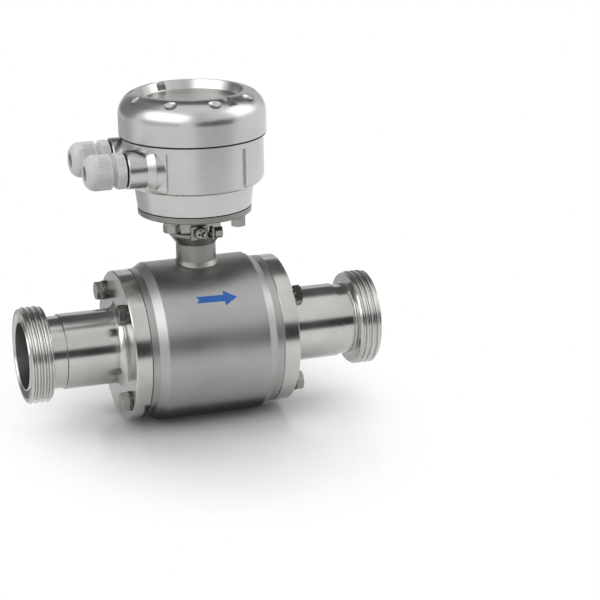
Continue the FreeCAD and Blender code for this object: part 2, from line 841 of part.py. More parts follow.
def gland_start(y):
    """Where the gland's shoulder sits, outside its sealing ring."""
    return Vector(-entry_boss_face - gland_ring_thickness, y, entry_z)


def gland_ring(y):
    """The flat sealing ring, its edges bevelled, between the boss and the gland."""
    outer = entry_boss_diameter / 2 - entry_boss_edge - gland_ring_inset
    inner = entry_bore / 2
    bevel = gland_ring_bevel
    profile = Part.Face(outline(Vector(inner, 0, 0), Vector(outer - bevel, 0, 0), Vector(outer, 0, bevel),
                                Vector(outer, 0, gland_ring_thickness - bevel),
                                Vector(outer - bevel, 0, gland_ring_thickness),
                                Vector(inner, 0, gland_ring_thickness)))
    ring = profile.revolve(Vector(), up, 360)
    ring.Placement = FreeCAD.Placement(gland_start(y), FreeCAD.Rotation(up, along_flow))
    return ring


def gland_body(y):
    """Gland body: tail in the box, hexagon, and the thread that carries the dome nut."""
    start = gland_start(y)
    mouth = gland_hex_length + gland_thread_length
    socket = gland_thread_radius - gland_socket_wall
    body = rounded_hexagon(gland_hex_flats, start, -along_flow, gland_hex_length, gland_hex_angle)
    tail = rod(entry_bore / 2 - gland_clearance, start, along_flow, gland_ring_thickness + gland_tail_length)
    body = body.fuse(tail).fuse(rod(gland_thread_radius, start, -along_flow, mouth))
    length = gland_ring_thickness + gland_tail_length + mouth
    body = body.cut(rod(gland_bore / 2, start - along_flow * mouth, along_flow, length))
    return body.cut(rod(socket, start - along_flow * mouth, along_flow, gland_socket_length))


def dome_middle(wide, low, narrow, high):
    """The middle (radius, z) of an arc that leaves a cylinder smoothly and ends at a smaller radius."""
    across = wide - narrow
    rise = high - low
    radius = (across ** 2 + rise ** 2) / (2 * across)
    half = math.atan2(rise, radius - across) / 2
    return wide - radius + radius * math.cos(half), low + radius * math.sin(half)


def gland_nut(y):
    """The dome nut: hexagonal skirt, rounded dome and cable hole."""
    base = gland_start(y) - along_flow * (gland_hex_length + gland_nut_gap)
    corner = gland_nut_diameter / 2
    length = gland_nut_skirt + gland_nut_dome
    tip = gland_nut_tip_diameter / 2
    bore = gland_thread_radius + gland_nut_clearance
    hole = gland_hole_diameter / 2
    nut = turned_z((bore, 0), (corner, 0), (corner, gland_nut_skirt),
                   (dome_middle(corner, gland_nut_skirt, tip, length), (tip, length)), (hole, length),
                   (hole, length - gland_nut_tip_wall), (bore, gland_nut_bore_depth))
    nut.Placement = FreeCAD.Placement(base, FreeCAD.Rotation(up, -along_flow))
    return nut.common(hexagon(gland_nut_flats, base, -along_flow, length, gland_hex_angle))


def gland_insert(y):
    """The rubber sealing insert, tapered to fit the dome."""
    base = gland_start(y) - along_flow * (gland_hex_length + gland_nut_gap)
    length = gland_nut_skirt + gland_nut_dome
    bore = gland_thread_radius + gland_nut_clearance
    hole = gland_hole_diameter / 2
    outer = gland_thread_radius - gland_socket_wall - gland_insert_play
    tip_x = length - gland_nut_tip_wall - gland_insert_clearance * 2
    slope = (bore - hole) / (length - gland_nut_tip_wall - gland_nut_bore_depth)
    shoulder = tip_x - (outer - hole) / slope
    start = tip_x - gland_insert_length
    inner = gland_insert_hole / 2
    profile = Part.Face(outline(Vector(inner, 0, start), Vector(outer, 0, start), Vector(outer, 0, shoulder),
                                Vector(hole, 0, tip_x), Vector(inner, 0, tip_x)))
    insert = profile.revolve(Vector(), up, 360)
    insert.Placement = FreeCAD.Placement(base, FreeCAD.Rotation(up, -along_flow))
    return insert


def cover_seal():
    inner = spigot_radius + cover_thread_clearance
    return pipe(box_radius - cover_seal_inset, inner, Vector(0, 0, box_top), up, cover_seal_thickness)


def cover_blank():
    """The turned form of the cover: skirt, domed shoulder, dished recess and threaded inside."""
    rim = cover_rim_radius
    lean = cover_shoulder * math.sqrt(0.5)
    inner = spigot_radius + cover_thread_clearance
    return turned_z((inner, cover_base), (cover_radius, cover_base), (cover_radius, shoulder_start),
                    ((rim + lean, shoulder_start + lean), (rim, cover_top)),
                    (recess_radius, recess_floor), (0, recess_floor - cover_dish), (0, ceiling),
                    (inner - cover_inner_corner, ceiling), (inner, ceiling - cover_inner_corner))


def cover():
    """The screwed cover with its ring of dimples and two key slots."""
    lie = math.radians(dimple_lie)
    radius = ((dimple_diameter / 2) ** 2 + dimple_depth ** 2) / (2 * dimple_depth)
    reach = cover_shoulder - dimple_depth + radius
    centre = Vector(cover_rim_radius + reach * math.cos(lie), 0, shoulder_start + reach * math.sin(lie))
    dimples = around(Part.makeSphere(radius, centre), dimple_count, up, dimple_angle)
    slot = block((recess_radius - key_slot_width / 2, recess_radius + key_slot_reach),
                 (-key_slot_width / 2, key_slot_width / 2),
                 (recess_floor + cover_dish, cover_top + cover_plate))
    return cover_blank().cut(dimples).cut(around(slot, 2, up, key_slot_angle))


def pieces():
    """Every node with its shape."""
    nodes = {
        "sensor_housing": sensor_housing(), "measuring_tube": measuring_tube(), "liner": liner(),
        "front_electrode": front_electrode(), "rear_electrode": on_rear(front_electrode()),
        "electrode_insulators": Part.makeCompound([front_insulator(), on_rear(front_insulator())]),
        "electrode_nuts": Part.makeCompound([electrode_nut(), on_rear(electrode_nut())]),
        "upper_pole": upper_pole(), "lower_pole": on_bottom(upper_pole()),
        "upper_coil": upper_coil(), "lower_coil": on_bottom(upper_coil()), "yoke": yoke(),
        "neck_tube": neck_tube(), "neck_plug": neck_plug(), "lead_bundle": lead_bundle(),
        "neck_collar": neck_collar(), "neck_nut": neck_nut(), "lock_screw": lock_screw(),
        "earth_clamp": earth_clamp(), "earth_screw": earth_screw(),
        "box_flange": box_flange(), "ring_gasket": ring_gasket(), "ring_bolts": ring_bolts(),
        "ring_washers": ring_washers(), "box_body": box_body(), "terminal_plate": terminal_plate(),
        "plate_screws": plate_screws(), "cover_seal": cover_seal(), "cover": cover(),
    }
    for name, piece in (("end_ring", end_ring()), ("flange", flange()), ("spool", spool()),
                        ("union_end", union_end()), ("seal", process_seal()), ("bolts", flange_bolts()),
                        ("spring_washers", flange_washers())):
        nodes["outlet_" + name] = piece
        nodes["inlet_" + name] = on_inlet(piece)
    for side, turn in (("front", lambda shape: shape), ("rear", on_rear)):
        nodes[side + "_terminals"] = turn(front_terminals())
        nodes[side + "_terminal_screws"] = turn(front_terminal_screws())
    for side, y in (("front", -entry_y), ("rear", entry_y)):
        nodes[side + "_gland_ring"] = gland_ring(y)
        nodes[side + "_gland_body"] = gland_body(y)
        nodes[side + "_gland_insert"] = gland_insert(y)
        nodes[side + "_gland_nut"] = gland_nut(y)
    return nodes


os.makedirs("parts", exist_ok=True)
for node, shape in pieces().items():
    shape.exportStep("parts/" + node + ".step")
    print(node, len(shape.Solids), shape.isValid())
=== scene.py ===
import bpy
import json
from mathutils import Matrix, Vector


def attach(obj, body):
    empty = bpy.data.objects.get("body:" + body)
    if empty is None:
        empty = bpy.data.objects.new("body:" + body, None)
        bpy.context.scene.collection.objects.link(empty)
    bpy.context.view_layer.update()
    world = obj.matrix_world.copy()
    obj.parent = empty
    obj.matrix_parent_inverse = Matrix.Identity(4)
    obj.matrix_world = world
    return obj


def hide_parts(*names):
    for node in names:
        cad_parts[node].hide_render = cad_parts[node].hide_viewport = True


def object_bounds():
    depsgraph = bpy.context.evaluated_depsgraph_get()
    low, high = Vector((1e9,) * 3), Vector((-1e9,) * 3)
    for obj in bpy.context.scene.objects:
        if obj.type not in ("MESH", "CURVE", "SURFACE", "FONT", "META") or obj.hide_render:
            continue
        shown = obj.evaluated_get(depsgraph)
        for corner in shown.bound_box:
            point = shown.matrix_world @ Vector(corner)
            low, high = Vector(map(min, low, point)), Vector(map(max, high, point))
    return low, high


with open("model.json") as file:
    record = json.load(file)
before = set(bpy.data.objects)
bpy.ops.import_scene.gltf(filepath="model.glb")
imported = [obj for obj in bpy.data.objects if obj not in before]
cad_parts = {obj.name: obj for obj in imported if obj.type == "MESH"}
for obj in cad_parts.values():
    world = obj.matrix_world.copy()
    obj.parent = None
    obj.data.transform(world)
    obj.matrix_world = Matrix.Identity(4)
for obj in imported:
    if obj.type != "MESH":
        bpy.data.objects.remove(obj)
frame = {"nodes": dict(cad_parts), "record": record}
cadBox = [list(corner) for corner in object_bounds()]

import json
import math

import bmesh
import bpy
from mathutils import Matrix, Vector

mm = 0.001
near = 0.01  # radii that differ by less than this, in mm, count as one
scene = bpy.context.scene
scene.view_settings.view_transform = "Standard"

# azimuths count from the front, -Y, towards the outlet, +X
cameraLook = {
    "azimuth": -18.82, "elevation": 17.24, "roll": -0.83, "distance": 1.62741,
    "target": (0.0795, 0, 0.01796), "lens": 130.92, "sensorWidth": 36, "clipEnd": 50,
}


def direction(azimuth, elevation):
    az, el = math.radians(azimuth), math.radians(elevation)
    return Vector((math.sin(az) * math.cos(el), -math.cos(az) * math.cos(el), math.sin(el)))


def placeCamera(look):
    back = direction(look["azimuth"], look["elevation"])
    roll = math.radians(look["roll"])
    right = (-back).cross(Vector((0, 0, 1))).normalized()
    up = right.cross(-back)
    tiltedRight = right * math.cos(roll) + up * math.sin(roll)
    tiltedUp = up * math.cos(roll) - right * math.sin(roll)
    camera = bpy.data.objects.new("camera", bpy.data.cameras.new("camera"))
    camera.data.sensor_width = look["sensorWidth"]
    camera.data.lens = look["lens"]
    camera.data.clip_end = look["clipEnd"]
    place = Matrix.Translation(Vector(look["target"]) + back * look["distance"])
    camera.matrix_world = place @ Matrix((tiltedRight, tiltedUp, back)).transposed().to_4x4()
    scene.collection.objects.link(camera)
    scene.camera = camera


placeCamera(cameraLook)


# an sRGB hex colour as the linear one that a socket takes
def linear(hexColour):
    values = [int(hexColour[i:i + 2], 16) / 255 for i in (1, 3, 5)]
    return tuple(v / 12.92 if v <= 0.04045 else ((v + 0.055) / 1.055) ** 2.4
                 for v in values) + (1.0,)


# a node with its settings; an input is a value, or the socket that feeds it
def addNode(tree, kind, inputs=None, **settings):
    node = tree.nodes.new(kind)
    for key, value in settings.items():
        setattr(node, key, value)
    for key, value in (inputs or {}).items():
        if isinstance(value, bpy.types.NodeSocket):
            tree.links.new(value, node.inputs[key])
        else:
            node.inputs[key].default_value = value
    return node


# a material with values set on its shader's own sockets
def newMaterial(name, values):
    material = bpy.data.materials.new(name)
    material.use_nodes = True
    for key, value in values.items():
        material.node_tree.nodes["Principled BSDF"].inputs[key].default_value = value
    return material


# lets a pattern drive a socket of the material's shader
def feedShader(material, key, source):
    tree = material.node_tree
    tree.links.new(source, tree.nodes["Principled BSDF"].inputs[key])


# large softboxes left, right and overhead
softboxes = {
    "leftSoftbox": {
        "azimuth": -62, "elevation": 38, "distance": 2.0, "size": (2.5, 1.3), "watts": 15},
    "rightSoftbox": {
        "azimuth": 80, "elevation": 36, "distance": 2.0, "size": (1.5, 1.3), "watts": 8},
    "topSoftbox": {
        "azimuth": 160, "elevation": 66, "distance": 2.0, "size": (1.6, 1.0), "watts": 12,
        "mirrored": False},
}


def addLamp(name, look):
    data = bpy.data.lights.new(name, "AREA")
    data.shape = "RECTANGLE"
    data.size, data.size_y = look["size"]
    data.energy = look["watts"]
    lamp = bpy.data.objects.new(name, data)
    away = direction(look["azimuth"], look["elevation"])
    lamp.location = away * look["distance"]
    lamp.rotation_euler = away.to_track_quat("Z", "Y").to_euler()
    lamp.visible_glossy = look.get("mirrored", True)
    scene.collection.objects.link(lamp)


for lampName, lampLook in softboxes.items():
    addLamp(lampName, lampLook)

worldLook = {"colour": "#FFFFFF", "shownLevel": 1.0, "diffuseLevel": 0.46}


# white to the camera and in reflections, softer as a source of light
def setWorld(look):
    world = bpy.data.worlds.new("studio")
    scene.world = world
    world.use_nodes = True
    tree = world.node_tree
    tree.nodes.clear()
    rays = addNode(tree, "ShaderNodeLightPath").outputs
    shown = rays["Is Camera Ray"]
    for ray in ("Is Glossy Ray", "Is Transmission Ray"):
        shown = addNode(tree, "ShaderNodeMath", {0: shown, 1: rays[ray]},
                        operation="MAXIMUM").outputs[0]
    level = addNode(tree, "ShaderNodeMapRange", {
        "Value": shown, "To Min": look["diffuseLevel"], "To Max": look["shownLevel"]})
    background = addNode(tree, "ShaderNodeBackground", {
        "Color": linear(look["colour"]), "Strength": level.outputs[0]})
    addNode(tree, "ShaderNodeOutputWorld", {"Surface": background.outputs[0]})


setWorld(worldLook)


# a flat sheet of the studio; a card shows in reflections only, where its glow is a painted
# reflection
def stageSheet(name, look, material, card=False):
    bm = bmesh.new()
    bmesh.ops.create_grid(bm, x_segments=1, y_segments=1, size=0.5)  # one metre square
    bmesh.ops.scale(bm, vec=(*look["size"], 1), verts=bm.verts)
    mesh = bpy.data.meshes.new(name)
    bm.to_mesh(mesh)
    bm.free()
    mesh.materials.append(material)
    sheet = bpy.data.objects.new(name, mesh)
    if "height" in look:  # lies flat
        sheet.location = (0, 0, look["height"])
    else:
        away = direction(look["azimuth"], look["elevation"])
        sheet.location = away * look["distance"]
        sheet.rotation_euler = away.to_track_quat("Z", "Y").to_euler()
    if card:
        sheet.visible_camera = False
        sheet.visible_diffuse = False
        sheet.visible_shadow = False
    scene.collection.objects.link(sheet)


# in metres: how far from the middle the table's shade starts to end in the white, and has ended
floorLook = {
    "height": cadBox[0][2], "size": (1.2, 1.2), "fadeFrom": 0.08, "fadeTo": 0.24, "narrow": 1.45,
    "colour": "#F7F7F7", "roughness": 0.16,
}


# matt white studio table with a soft reflection, which fades into the white background
def floorMaterial(look):
    material = newMaterial("whiteTable", {
        "Base Color": linear(look["colour"]), "Roughness": look["roughness"]})
    tree = material.node_tree
    where = addNode(tree, "ShaderNodeTexCoord").outputs["Object"]
    oval = addNode(tree, "ShaderNodeVectorMath", {0: where, 1: (look["narrow"], 1, 1)},
                   operation="MULTIPLY")
    away = addNode(tree, "ShaderNodeVectorMath", {0: oval.outputs["Vector"]}, operation="LENGTH")
    fade = addNode(tree, "ShaderNodeMapRange", {
        "Value": away.outputs["Value"], "From Min": look["fadeFrom"], "From Max": look["fadeTo"]},
        interpolation_type="SMOOTHSTEP")
    mixed = addNode(tree, "ShaderNodeMixShader", {
        0: fade.outputs["Result"], 1: tree.nodes["Principled BSDF"].outputs[0],
        2: addNode(tree, "ShaderNodeBsdfTransparent").outputs[0]})
    tree.links.new(mixed.outputs[0], tree.nodes["Material Output"].inputs["Surface"])
    return material


stageSheet("floor", floorLook, floorMaterial(floorLook))

# grey cards that glow evenly and show in reflections only: painted reflections, lighter and darker,
# that give bare metal the parts of a studio to reflect
cards = {
    "cardHorizon": {
        "azimuth": 20, "elevation": 7, "distance": 1.9, "size": (2.3, 0.88), "level": 0.03},
    "cardFront": {
        "azimuth": -5, "elevation": 42, "distance": 2.2, "size": (0.8, 1.6), "level": 0.65},
    "cardFrontRight": {
        "azimuth": 32, "elevation": 44, "distance": 2.25, "size": (2.0, 1.9), "level": 0.92},
    "cardLeftLow": {
        "azimuth": -66, "elevation": 6, "distance": 2.1, "size": (2.6, 0.6), "level": 0.50},
    "cardBackLeft": {
        "azimuth": -146, "elevation": 32, "distance": 2.2, "size": (2.6, 2.9), "level": 0.25},
    "cardBack": {
        "azimuth": 152, "elevation": 50, "distance": 2.2, "size": (3.4, 1.7), "level": 0.12},
    "cardBackLow": {
        "azimuth": 155, "elevation": 12, "distance": 2.3, "size": (2.4, 0.9), "level": 0.65},
    "cardBackLeftLow": {
        "azimuth": -152, "elevation": -16, "distance": 1.8, "size": (2.2, 0.8), "level": 0.55},
    # just above the table, under the barrel: a dark card, painted shade of the contact in the
    # reflections there
    "cardUnder": {"height": floorLook["height"] + 0.0003, "size": (0.096, 0.08), "level": 0.03},
}


# a card's glow, a painted reflection; it is no lamp and is never sampled as one
def cardMaterial(name, level):
    material = newMaterial(name + "PaintedReflection", {
        "Base Color": linear("#000000"), "Specular IOR Level": 0,
        "Emission Color": linear("#FFFFFF"), "Emission Strength": level})
    material.cycles.emission_sampling = "NONE"
    return material


for cardName, cardLook in cards.items():
    stageSheet(cardName, cardLook, cardMaterial(cardName, cardLook["level"]), card=True)
print("stage: camera, floor, cards and lamps")

# Shared by all finishes: the middle part of a noise that is spread over the whole effect
noiseMiddle = {"From Min": 0.3, "From Max": 0.7}
grainRoughness = 0.6
edgeSamples = 4


# colour drifting between dark and light, in clouds whose size is in mm
def cloudedColour(tree, where, look, detail):
    clouds = addNode(tree, "ShaderNodeTexNoise", {
        "Vector": where, "Scale": 1 / (look["clouds"] * mm), "Detail": detail}).outputs["Fac"]
    share = addNode(tree, "ShaderNodeMapRange", {"Value": clouds, **noiseMiddle})
    dark, light = (linear(colour) for colour in look["colours"])
    mixed = addNode(tree, "ShaderNodeMix", {0: share.outputs["Result"], 6: dark, 7: light},
                    data_type="RGBA")
    return mixed.outputs[2], clouds


# the normal of a surface with fine grain and broken edges
def grainedNormal(tree, where, look, detail):
    grain = addNode(tree, "ShaderNodeTexNoise", {
        "Vector": where, "Scale": 1 / (look["grain"] * mm), "Detail": detail,
        "Roughness": grainRoughness}).outputs["Fac"]
    rounded = addNode(tree, "ShaderNodeBevel", {"Radius": look["edge"] * mm}, samples=edgeSamples)
    bump = addNode(tree, "ShaderNodeBump", {
        "Height": grain, "Distance": look["grainDepth"] * mm, "Normal": rounded.outputs[0]})
    return bump.outputs[0], grain


# what the bare metals share: how the grain and the clouds vary the polish, how turning marks
# darken it, and the painted shade that ambient occlusion puts into gaps and recesses
metalLook = {
    "grainShare": 0.5, "polishFrom": 0.5, "polishTo": 1.0, "rippleDetail": 1.0,
    "marksDetail": 4.0, "marksRoughness": 0.7, "marksDarken": 0.35,
    "paintedShadeColour": "#1B1B1A", "paintedShadeFrom": 0.3, "paintedShadeTo": 0.85, "paintedShadeSamples": 6,
}


# rings that a turning tool leaves, about the flow axis or about the vertical one
def turningMarks(tree, where, look):
    parts = addNode(tree, "ShaderNodeSeparateXYZ", {0: where}).outputs
    axis, other = ("Z", "X") if look.get("upright") else ("X", "Z")
    across = addNode(tree, "ShaderNodeCombineXYZ", {"Y": parts["Y"], "Z": parts[other]})
    radius = addNode(tree, "ShaderNodeVectorMath", {0: across.outputs[0]}, operation="LENGTH")
    along = addNode(tree, "ShaderNodeMath", {0: parts[axis], 1: radius.outputs["Value"]})
    return addNode(tree, "ShaderNodeTexNoise", {
        "W": along.outputs[0], "Scale": 1 / (look["marks"] * mm),
        "Detail": metalLook["marksDetail"], "Roughness": metalLook["marksRoughness"]},
        noise_dimensions="1D").outputs["Fac"]


# Bare metal. colours: dark and light; clouds, grain and ripple: size in mm, the last two with
# their depth in mm; roughness: low and high; edge: radius in mm of its broken edges; marks:
# spacing in mm of turning marks about the flow axis, or about the vertical one where upright is
# set; shade: reach in mm of the painted shade, an ambient occlusion that darkens the colour in
# gaps and recesses. Grain and turning marks are a few times finer on the real part, and drawn
# this coarse to show.
def metalMaterial(name, look):
    material = newMaterial(name, {"Metallic": 1.0})
    tree = material.node_tree
    where = addNode(tree, "ShaderNodeTexCoord").outputs["Object"]
    colour, clouds = cloudedColour(tree, where, look, detail=3.0)
    normal, grain = grainedNormal(tree, where, look, detail=3.0)
    low, high = look["roughness"]
    polish = addNode(tree, "ShaderNodeMath", {0: grain, 1: metalLook["grainShare"], 2: clouds},
                     operation="MULTIPLY_ADD")
    roughness = addNode(tree, "ShaderNodeMapRange", {
        "Value": polish.outputs[0], "From Min": metalLook["polishFrom"],
        "From Max": metalLook["polishTo"], "To Min": low, "To Max": high})
    if "ripple" in look:
        ripple = addNode(tree, "ShaderNodeTexNoise", {
            "Vector": where, "Scale": 1 / (look["ripple"] * mm),
            "Detail": metalLook["rippleDetail"]})
        normal = addNode(tree, "ShaderNodeBump", {
            "Height": ripple.outputs["Fac"], "Distance": look["rippleDepth"] * mm,
            "Normal": normal}).outputs[0]
    if "marks" in look:
        rings = turningMarks(tree, where, look)
        normal = addNode(tree, "ShaderNodeBump", {
            "Height": rings, "Distance": look["marksDepth"] * mm, "Normal": normal}).outputs[0]
        share = addNode(tree, "ShaderNodeMapRange", {
            "Value": rings, **noiseMiddle, "To Max": metalLook["marksDarken"]})
        colour = addNode(tree, "ShaderNodeMix", {
            0: share.outputs["Result"], 6: colour, 7: linear(look["colours"][0])},
            data_type="RGBA").outputs[2]
    # painted shade: ambient occlusion darkens the colour in gaps and recesses
    if "shade" in look:
        openness = addNode(tree, "ShaderNodeAmbientOcclusion", {"Distance": look["shade"] * mm},
                           samples=metalLook["paintedShadeSamples"])
        share = addNode(tree, "ShaderNodeMapRange", {
            "Value": openness.outputs["AO"], "From Min": metalLook["paintedShadeFrom"],
            "From Max": metalLook["paintedShadeTo"]})
        colour = addNode(tree, "ShaderNodeMix", {
            0: share.outputs["Result"], 6: linear(metalLook["paintedShadeColour"]), 7: colour},
            data_type="RGBA").outputs[2]
    feedShader(material, "Base Color", colour)
    feedShader(material, "Roughness", roughness.outputs["Result"])
    feedShader(material, "Normal", normal)
    return material


# stainless tube and rings, bead blasted: an even mid grey satin without streaks
blastedSteel = metalMaterial("beadBlastedStainless", {
    "colours": ["#A5A5A4", "#AEAEAD"], "clouds": 30, "roughness": [0.34, 0.40], "grain": 0.6,
    "grainDepth": 0.012, "edge": 0.35})
# stainless turned on a lathe: bright bands and fine rings round the flow axis
turnedSteel = metalMaterial("turnedStainless", {
    "colours": ["#B8B8B5", "#CCCCC9"], "clouds": 30, "roughness": [0.16, 0.24], "grain": 0.8,
    "grainDepth": 0.002, "marks": 0.7, "marksDepth": 0.004, "edge": 0.25})
# the bore of the union ends, polished, and darker as painted shade of its own walls
polishedSteel = metalMaterial("polishedStainless", {
    "colours": ["#9A9A98", "#AEAEAB"], "clouds": 30, "roughness": [0.28, 0.36], "grain": 0.8,
    "grainDepth": 0.001, "edge": 0.25})
# investment cast stainless, blasted with glass: light and soft, slightly uneven like orange peel
castSteel = metalMaterial("castStainless", {
    "colours": ["#BDBDBB", "#C5C5C3"], "clouds": 20, "roughness": [0.26, 0.31], "grain": 0.9,
    "grainDepth": 0.018, "ripple": 6.0, "rippleDepth": 0.03, "edge": 0.25})
# drawn stainless tube and small turned parts under the box: less even, and darker as painted shade
# of the box above them, with painted shade in their gaps and recesses
neckSteel = metalMaterial("satinStainless", {
    "colours": ["#83827F", "#92918E"], "clouds": 9, "roughness": [0.28, 0.36], "grain": 0.5,
    "grainDepth": 0.004, "marks": 0.6, "marksDepth": 0.004, "upright": True, "edge": 0.15,
    "shade": 3})
# cold headed stainless bolts, smooth and a little darker than the flanges, with painted shade in
# their gaps and recesses
boltSteel = metalMaterial("headedStainless", {
    "colours": ["#8F8E8B", "#9D9C98"], "clouds": 8, "roughness": [0.20, 0.28], "grain": 0.6,
    "grainDepth": 0.002, "edge": 0.12, "shade": 2})
# spring steel of the split washers, oiled and darker, the dark partly their own tone and partly
# painted shade of the gaps beside them
springSteel = metalMaterial("springSteel", {
    "colours": ["#5E5D5A", "#706F6B"], "clouds": 4, "roughness": [0.24, 0.34], "grain": 0.5,
    "grainDepth": 0.004, "edge": 0.12, "shade": 1.5})
# soft magnetic iron, dull and a little dark
softIron = metalMaterial("softIron", {
    "colours": ["#54545A", "#6C6C70"], "clouds": 12, "roughness": [0.45, 0.6], "grain": 0.6,
    "grainDepth": 0.02, "edge": 0.3})
# plated brass of the terminal screws, yellow and bright
platedBrass = metalMaterial("platedBrass", {
    "colours": ["#B49A62", "#CDB882"], "clouds": 2, "roughness": [0.22, 0.34], "grain": 0.5,
    "grainDepth": 0.01, "edge": 0.15})


# Moulded plastic or rubber: even colour with faint clouds, and the fine grain of its mould,
# which is drawn a few times coarser than the real one to show
def plasticMaterial(name, look):
    material = newMaterial(name, {"IOR": look["ior"]})
    tree = material.node_tree
    where = addNode(tree, "ShaderNodeTexCoord").outputs["Object"]
    colour = cloudedColour(tree, where, look, detail=2.0)[0]
    normal, grain = grainedNormal(tree, where, look, detail=2.0)
    low, high = look["roughness"]
    roughness = addNode(tree, "ShaderNodeMapRange", {
        "Value": grain, **noiseMiddle, "To Min": low, "To Max": high})
    feedShader(material, "Base Color", colour)
    feedShader(material, "Roughness", roughness.outputs["Result"])
    feedShader(material, "Normal", normal)
    return material


# polyamide cable glands, light grey, satin from the mould
glandPlastic = plasticMaterial("greyPolyamide", {
    "colours": ["#D3D5D5", "#DBDDDD"], "clouds": 8, "roughness": [0.34, 0.44], "grain": 0.4,
    "grainDepth": 0.004, "ior": 1.53, "edge": 0.12})
# black elastomer seals, dull with a faint sheen
sealRubber = plasticMaterial("blackElastomer", {
    "colours": ["#0B0B0B", "#141414"], "clouds": 6, "roughness": [0.6, 0.75], "grain": 0.4,
    "grainDepth": 0.01, "ior": 1.4, "edge": 0.05})
# dark rubber of the sealing inserts, dull
insertRubber = plasticMaterial("darkRubber", {
    "colours": ["#262728", "#353637"], "clouds": 5, "roughness": [0.5, 0.7], "grain": 0.4,
    "grainDepth": 0.02, "ior": 1.5, "edge": 0.4})
# white fluoropolymer lining, waxy and smooth
linerPlastic = plasticMaterial("whiteFluoropolymer", {
    "colours": ["#DCDBD3", "#E8E7E1"], "clouds": 25, "roughness": [0.24, 0.36], "grain": 1.2,
    "grainDepth": 0.01, "ior": 1.38, "edge": 0.5})
# moulded insulating bushes, off-white and satin
insulatorPlastic = plasticMaterial("creamInsulator", {
    "colours": ["#CFC8B4", "#DCD6C6"], "clouds": 5, "roughness": [0.35, 0.5], "grain": 0.5,
    "grainDepth": 0.01, "ior": 1.5, "edge": 0.3})
# extruded sheath of the lead bundle, dark grey and dull
leadSheath = plasticMaterial("greySheath", {
    "colours": ["#2E2F31", "#3D3E40"], "clouds": 6, "roughness": [0.45, 0.6], "grain": 0.6,
    "grainDepth": 0.02, "ior": 1.5, "edge": 0.3})
# glass-fibre laminate under the terminals, green with a slight gloss
boardLaminate = plasticMaterial("greenLaminate", {
    "colours": ["#1E5B3B", "#2B7049"], "clouds": 4, "roughness": [0.3, 0.42], "grain": 0.9,
    "grainDepth": 0.02, "ior": 1.55, "edge": 0.2})
# moulded polyamide terminal blocks, dark grey and satin
terminalPlastic = plasticMaterial("darkPolyamide", {
    "colours": ["#3A3D40", "#474B4E"], "clouds": 6, "roughness": [0.4, 0.52], "grain": 0.4,
    "grainDepth": 0.015, "ior": 1.53, "edge": 0.3})
# one-coat printing ink on blasted steel, slightly grainy at its surface
printInk = plasticMaterial("blueInk", {
    "colours": ["#1E5CAE", "#2868BC"], "clouds": 3, "roughness": [0.42, 0.55], "grain": 0.5,
    "grainDepth": 0.02, "ior": 1.5, "edge": 0.02})


# enamelled copper wire, wound in layers about the vertical axis, darker between the wires as
# painted shade; wire and depth are in mm
def coilMaterial(look):
    material = newMaterial("enamelledCopper", {
        "Metallic": look["metallic"], "Roughness": look["roughness"]})
    tree = material.node_tree
    where = addNode(tree, "ShaderNodeTexCoord").outputs["Object"]
    # one band of the wave texture is 2 pi / 20 wide at scale 1
    wires = addNode(tree, "ShaderNodeTexWave", {
        "Vector": where, "Scale": math.tau / 20 / (look["wire"] * mm), "Distortion": 0.0},
        bands_direction="Z").outputs["Fac"]
    # painted shade: the colour darkens to the between colour in the grooves between wires
    colour = addNode(tree, "ShaderNodeMix", {
        0: wires, 6: linear(look["between"]), 7: linear(look["enamel"])}, data_type="RGBA")
    rounded = addNode(tree, "ShaderNodeBevel", {"Radius": look["edge"] * mm}, samples=edgeSamples)
    bump = addNode(tree, "ShaderNodeBump", {
        "Height": wires, "Distance": look["depth"] * mm, "Normal": rounded.outputs[0]})
    feedShader(material, "Base Color", colour.outputs[2])
    feedShader(material, "Normal", bump.outputs[0])
    return material


coilWire = coilMaterial({
    "wire": 0.5, "depth": 0.15, "edge": 0.2, "between": "#5A2A12", "enamel": "#9C5426",
    "metallic": 0.7, "roughness": 0.32})
print("stage: materials")


# from millimetres to metres, normals outward, shading, and the piece's place in the frame
def finishPiece(name, bm, materials, smoothAngle, body):
    bmesh.ops.scale(bm, vec=(mm, mm, mm), verts=bm.verts)
    bmesh.ops.recalc_face_normals(bm, faces=bm.faces)
    for face in bm.faces:
        face.smooth = True
    mesh = bpy.data.meshes.new(name)
    bm.to_mesh(mesh)
    bm.free()
    for material in materials:
        mesh.materials.append(material)
    mesh.set_sharp_from_angle(angle=math.radians(smoothAngle))
    piece = bpy.data.objects.new(name, mesh)
    scene.collection.objects.link(piece)
    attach(piece, body)
    return piece


# a closed profile of points (x, radius), spun once round the X axis
def spinProfile(points, steps):
    bm = bmesh.new()
    verts = [bm.verts.new((x, 0, radius)) for x, radius in points]
    edges = [bm.edges.new(pair) for pair in zip(verts, verts[1:] + verts[:1])]
    bmesh.ops.spin(bm, geom=verts + edges, cent=(0, 0, 0), axis=(1, 0, 0), angle=math.tau,
                   steps=steps, use_merge=True)
    bmesh.ops.remove_doubles(bm, verts=bm.verts, dist=1e-4)
    return bm


# the ends of equal stretches of about step mm, from start to end
def stretches(start, end, step):
    count = max(1, round(abs(end - start) / step))
    return [start + (end - start) * i / count for i in range(count + 1)]


# points on an arc of a profile, from start to end degrees
def arc(centre, radius, start, end, count):
    turns = [math.radians(start + (end - start) * i / count) for i in range(count + 1)]
    return [(centre[0] + radius * math.cos(turn), centre[1] + radius * math.sin(turn))
            for turn in turns]


def distanceFromAxis(vert):
    return math.hypot(vert.co.y, vert.co.z)


# moves a point of a spun shape to another radius
def setRadius(vert, wanted):
    share = wanted / distanceFromAxis(vert)
    vert.co.y *= share
    vert.co.z *= share


